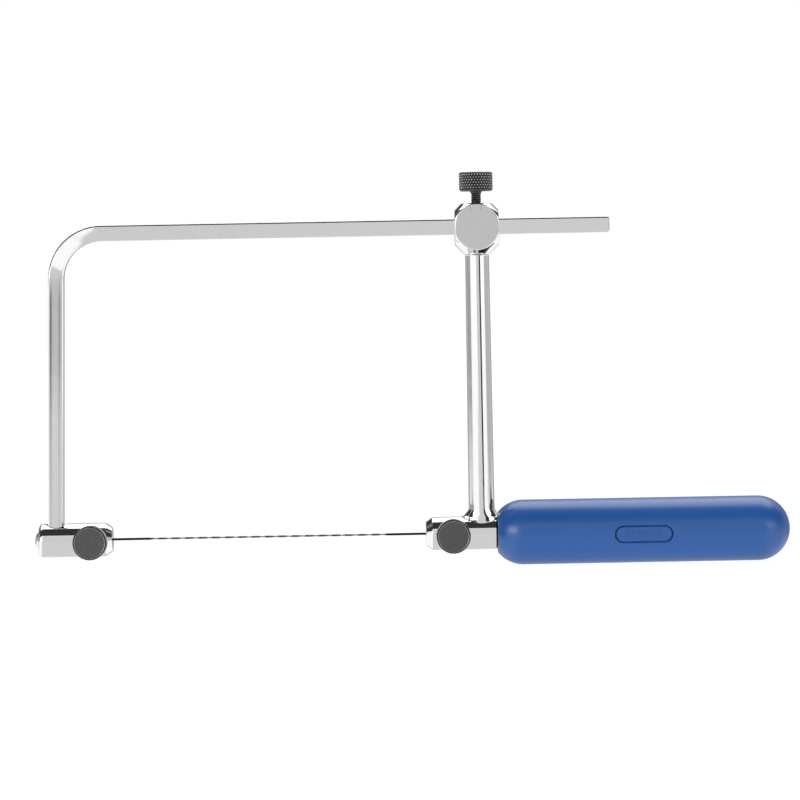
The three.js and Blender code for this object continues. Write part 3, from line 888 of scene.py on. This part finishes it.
def knurled_screw(name, node, direction, body):
    """Knurled thumbscrew standing on its tip."""
    outline = spaced_outline(screw_outline(), SCREW_PITCH / 6)
    tip = middle(node) - Vector(direction) * KNOB_TOP / 2
    sides = KNURL_STARTS * 8
    rings = circle_rings(outline[1:-1], sides, knurl_and_thread)
    ends = (0, 0, outline[0][0]), (0, 0, outline[-1][0])
    screw = skin(name, rings, *ends, placed(tip, direction))
    # Wear, painted shade and painted highlight for each vertex of knurl and thread.
    wear_and_painted_light = wear_and_painted_light_levels(*plain_surface(outline[1:-1], sides)).ravel()
    mark(screw, "wear_and_painted_light", np.append(wear_and_painted_light, (0.5, 0.5)))
    return complete(screw, body, "black_oxide", BLACK_OXIDE, node, crease=50, weighted=False)


def pad(name, node, direction, body):
    """Brass pad with a socket for the screw's tip and a chamfered pressing face."""
    low, high = box_mm(node)
    height = abs((high - low).dot(Vector(direction)))
    base = (low + high) / 2 - Vector(direction) * height / 2
    corners = [(0, 0, 0), (0, PAD_RADIUS - 0.2, 0.05), (0.2, PAD_RADIUS, 0.05), (height, PAD_RADIUS, 0.08)]
    corners += [(height, PAD_SOCKET_RADIUS, 0.05), (0.5, PAD_SOCKET_RADIUS, 0.05), (0.5, 0, 0)]
    button = turned(name, corners, placed(base, direction), sides=96, steps=3)
    return complete(button, body, "brass_pad", BRASS, node)


# ---- Handle --------------------------------------------------------------------------------------


def handle_outline():
    """Capsule with a flat front face whose rim is softened."""
    front, butt, rim = HANDLE_LOW.x, HANDLE_HIGH.x, HANDLE_RIM
    centre = front + math.sqrt(HANDLE_RADIUS**2 - HANDLE_FACE_RADIUS**2)
    rim_x = front + rim
    rim_off = math.sqrt((HANDLE_RADIUS - rim) ** 2 - (centre - rim_x) ** 2)
    turn = math.atan2(rim_off, rim_x - centre)
    outline = [(front, 0)] + arc(rim_x, rim_off, rim, math.pi, turn, 8)
    outline += arc(centre, 0, HANDLE_RADIUS, turn, math.pi / 2, 30)[1:]
    outline += arc(butt - HANDLE_RADIUS, 0, HANDLE_RADIUS, math.pi / 2, 0, 48)
    return spaced_outline(outline, 1.2)


def stadium(length, height, grow, steps=24):
    """Points round a stadium moved outwards, counter-clockwise as seen from the front."""
    size = height / 2 + grow
    end = (length - height) / 2
    right = arc(end, 0, size, -math.pi / 2, math.pi / 2, steps)
    left = arc(-end, 0, size, math.pi / 2, 1.5 * math.pi, steps)
    return spaced_outline(right + left + right[:1], 0.6)[:-1]


def panel_ring(grow, y):
    along, up = PANEL_CENTRE
    return [(along + x, y, up + z) for x, z in stadium(PANEL_LENGTH, PANEL_HEIGHT, grow)]


def panel_cutter():
    """The space inside the sunk panel: softened rim, a moat inside it, and a floor with standing ribs."""
    rim, lift = PANEL_RIM, 0.04
    moat_width, moat_depth = PANEL_MOAT
    moat_y = PANEL_FLOOR_Y + moat_depth
    profile = [(rim + 0.2, 1.5), (rim + 0.2, 0.06)]
    for angle in np.linspace(0.15, math.pi / 2, 8):
        profile.append((rim * (1 - math.sin(angle)), lift + rim * (math.cos(angle) - 1)))
    rings = []
    for grow, proud in profile:
        ring = panel_ring(grow, 0)
        rings.append([(x, -math.sqrt(HANDLE_RADIUS**2 - z * z) - proud, z) for x, _, z in ring])
    rings += [panel_ring(-0.02, moat_y - 0.15), panel_ring(-0.1, moat_y - 0.04), panel_ring(-0.18, moat_y)]
    rings += [panel_ring(-moat_width, moat_y), panel_ring(-moat_width - 0.06, PANEL_FLOOR_Y + 0.1)]
    rings += [panel_ring(-moat_width - 0.16, PANEL_FLOOR_Y)]
    cutter = skin("cutter", rings[::-1])
    along, up = PANEL_CENTRE
    for k in range(RIB_COUNT):
        combine(cutter, panel_rib(along + (k - (RIB_COUNT - 1) / 2) * RIB_PITCH, up))
    return cutter


def panel_rib(x, z):
    """Short upright rib with round ends, standing on the panel's floor."""
    rings = []
    for grow, proud in ((0, -0.3), (0, 0.08), (-0.05, 0.15), (-0.13, 0.18)):
        outline = stadium(RIB_LENGTH, RIB_WIDTH, grow, 8)
        rings.append([(x - v, PANEL_FLOOR_Y - proud, z + u) for u, v in outline])
    return skin("rib", rings)


def handle():
    """Moulded handle, bored for the tang, with its sunk panel."""
    outline = handle_outline()
    rings = circle_rings(outline[1:-1], 288)
    ends = (0, 0, outline[0][0]), (0, 0, outline[-1][0])
    grip = skin("moulded_handle", rings, *ends, placed((0, 0, 0), ALONG_X))
    bore_end = REAR_HIGH.x + 0.3
    bore = placed((bore_end, 0, 0), (-1, 0, 0))
    combine(grip, hole(TANG_RADIUS + 0.1, 0, bore_end - HANDLE_LOW.x, bore, lead=0.2))
    combine(grip, panel_cutter())
    return complete(grip, "rear_frame", "blue_plastic", BLUE_PLASTIC, "handle", crease=40)


# ---- Studio --------------------------------------------------------------------------------------


def window(graph, value, low, high, soft):
    """1 where value is between low and high degrees, with soft sides."""
    rise = graph.ramp(value, low - soft / 2, low + soft / 2)
    fall = graph.ramp(value, high - soft / 2, high + soft / 2, 1.0, 0.0)
    return graph.math("MULTIPLY", rise, fall)


def studio_world():
    """White cove with cards, flags and lamps, told apart by direction. The camera sees only white."""
    cove_light, white = 1.06, 1.0
    world = bpy.data.worlds.new("studio")
    world.use_nodes = True
    bpy.context.scene.world = world
    graph = Graph(world.node_tree)
    light = graph.add("Value")
    light.node.outputs[0].default_value = cove_light
    for share, value in studio_regions(graph, *studio_angles(graph)):
        keep = graph.math("SUBTRACT", 1.0, share)
        shown_before = graph.math("MULTIPLY", light, keep)
        light = graph.math("ADD", shown_before, graph.math("MULTIPLY", share, value))
    seen = graph.add("LightPath", output="Is Camera Ray")
    unseen = graph.math("MULTIPLY", light, graph.math("SUBTRACT", 1.0, seen))
    shown = graph.math("ADD", graph.math("MULTIPLY", seen, white), unseen)
    background = graph.add("Background", {"Color": (1, 1, 1, 1), "Strength": shown})
    graph.add("OutputWorld", {"Surface": background})


def studio_angles(graph):
    """A direction's angles in degrees, all 0 straight in front of the saw.

    Azimuth turns to the right, and pitch goes up and over. Level is the angle out of the horizontal plane,
    and lateral is the angle out of the plane that divides left from right.
    """
    direction = graph.add("TexCoord", output="Generated")
    split = graph.tree.nodes.new("ShaderNodeSeparateXYZ")
    graph.feed(split.inputs[0], direction)
    x, y, z = split.outputs
    forward = graph.math("MULTIPLY", y, -1.0)
    azimuth = graph.math("DEGREES", graph.math("ARCTAN2", x, forward))
    pitch = graph.math("DEGREES", graph.math("ARCTAN2", z, forward))
    level = graph.math("DEGREES", graph.math("ARCSINE", z))
    lateral = graph.math("DEGREES", graph.math("ARCSINE", x))
    return azimuth, pitch, level, lateral


def studio_regions(graph, azimuth, pitch, level, lateral):
    """(where, how bright) for each thing round the saw, later ones over earlier ones, in degrees."""

    def patch(from_azimuth, to_azimuth, from_level, to_level, soft=3, level_soft=3):
        along = window(graph, azimuth, from_azimuth, to_azimuth, soft)
        return graph.math("MULTIPLY", along, window(graph, level, from_level, to_level, level_soft))

    def strip(from_pitch, to_pitch, where, soft=2):
        return graph.math("MULTIPLY", window(graph, pitch, from_pitch, to_pitch, soft), where)

    def low(from_azimuth, to_azimuth, soft=4):
        return patch(from_azimuth, to_azimuth, -6, -3.45, soft, 1.5)

    aside = graph.math("ABSOLUTE", azimuth)
    in_front = window(graph, lateral, -23, 23, 4)
    table = graph.math("MULTIPLY", in_front, window(graph, level, -90, -2.3, 1.6))
    overhead = graph.math("MULTIPLY", window(graph, lateral, -34, 34, 8), graph.ramp(level, 40, 46))
    behind = graph.math("MULTIPLY", graph.ramp(aside, 116, 130), window(graph, level, -14, 30, 8))
    not_behind = graph.ramp(aside, 76, 96, 1.0, 0.0)
    grey_cards = [
        (behind, 0.42),
        (patch(-123, -74, -2.85, 30, 6, 2.7), 0.36),
        (patch(-112, -80, -8, -2.85, 6, 2.2), 0.72),
    ]
    left_flags = [
        (patch(-160, -104, 14, 58, 10, 8), 0.04),
        (patch(-104, -74, 22, 58, 8, 8), 0.1),
    ]
    right_side = [
        (patch(64, 121, -3.45, 30, 5, 1.5), 0.5),
        (patch(74, 116, 15, 52, 8, 6), 0.04),
        (low(54, 78), 0.75),
        (low(78, 106), 0.05),
    ]
    round_camera = [
        (strip(-160, 34, table, 12), 0.68),
        (strip(-12, 34, patch(-12, 13.5, -2.6, 40, 3, 1.1)), 0.66),
    ]
    dark_ceiling = [(strip(36, 91, not_behind), 0.035)]
    soft_box_overhead = [(strip(93, 138, overhead), 3.0)]
    flags_by_camera = [
        (patch(13.5, 27, -3.7, 14, 2, 1), 0.03),
        (patch(-7, -2, -2.0, -0.2, 2, 0.4), 0.58),
    ]
    lamps = [
        (patch(-52, -26, 3, 16, 14, 8), 8.0),
        (patch(30, 60, 3, 18, 14, 8), 2.6),
    ]
    sides = grey_cards + left_flags + right_side
    return sides + round_camera + dark_ceiling + soft_box_overhead + flags_by_camera + lamps


def floor():
    """Plain pale floor just under the handle. It takes a faint shadow and lights no other surface."""
    shadow_catch, glow_strength = 0.07, 0.97
    half, height = FLOOR_HALF, HANDLE_LOW.z * MM - FLOOR_BELOW_HANDLE
    mesh = bpy.data.meshes.new("pale_floor")
    corners = [(-half, -half, height), (half, -half, height), (half, half, height), (-half, half, height)]
    mesh.from_pydata(corners, [], [(0, 1, 2, 3)])
    plane = bpy.data.objects.new("pale_floor", mesh)
    bpy.context.scene.collection.objects.link(plane)
    material = bpy.data.materials.new("pale_floor")
    material.use_nodes = True
    graph = Graph(material.node_tree)
    paper = graph.add("BsdfDiffuse", {"Color": grey(shadow_catch)})
    glow = graph.add("Emission", {"Color": grey(1.0), "Strength": glow_strength})
    graph.add("OutputMaterial", {"Surface": graph.add("AddShader", {0: paper, 1: glow})})
    mesh.materials.append(material)
    plane.visible_glossy = plane.visible_diffuse = False


def camera():
    """Camera well in front of the saw, level with the bar, its picture shifted down to the saw's middle."""
    data = bpy.data.cameras.new("camera")
    data.sensor_width = SENSOR
    data.lens = LENS
    data.clip_start, data.clip_end = 0.01, 20
    off_x, off_z = PICTURE_CENTRE[0] - CAMERA_X, PICTURE_CENTRE[1] - CAMERA_Z
    right = off_x * math.cos(CAMERA_ROLL) - off_z * math.sin(CAMERA_ROLL)
    up = off_x * math.sin(CAMERA_ROLL) + off_z * math.cos(CAMERA_ROLL)
    data.shift_x = right / CAMERA_DISTANCE * LENS / SENSOR
    data.shift_y = up / CAMERA_DISTANCE * LENS / SENSOR
    eye = bpy.data.objects.new("camera", data)
    bpy.context.scene.collection.objects.link(eye)
    turn = Matrix.Rotation(math.pi / 2, 4, "X") @ Matrix.Rotation(-CAMERA_ROLL, 4, "Z")
    eye.matrix_world = Matrix.Translation(Vector((CAMERA_X, -CAMERA_DISTANCE, CAMERA_Z)) * MM) @ turn
    bpy.context.scene.camera = eye


# ---- The whole scene -----------------------------------------------------------------------------

bow_bar()
front_barrel()
end_rivet()
rear_barrel()
stem()
head()
blade()
handle()
for end in ("front", "rear"):
    knurled_screw(f"{end}_knurled_screw", f"{end}_clamp_thumbscrew", TO_FRONT, f"{end}_clamp_screw")
    pad(f"{end}_brass_pad", f"{end}_clamp_pad", TO_FRONT, f"{end}_clamp_pad")
knurled_screw("lock_knurled_screw", "bow_lock_thumbscrew", UP, "bow_lock_screw")
pad("lock_brass_pad", "bow_lock_pad", UP, "bow_lock_pad")

camera()
studio_world()
floor()
bpy.context.scene.view_settings.view_transform = "Standard"
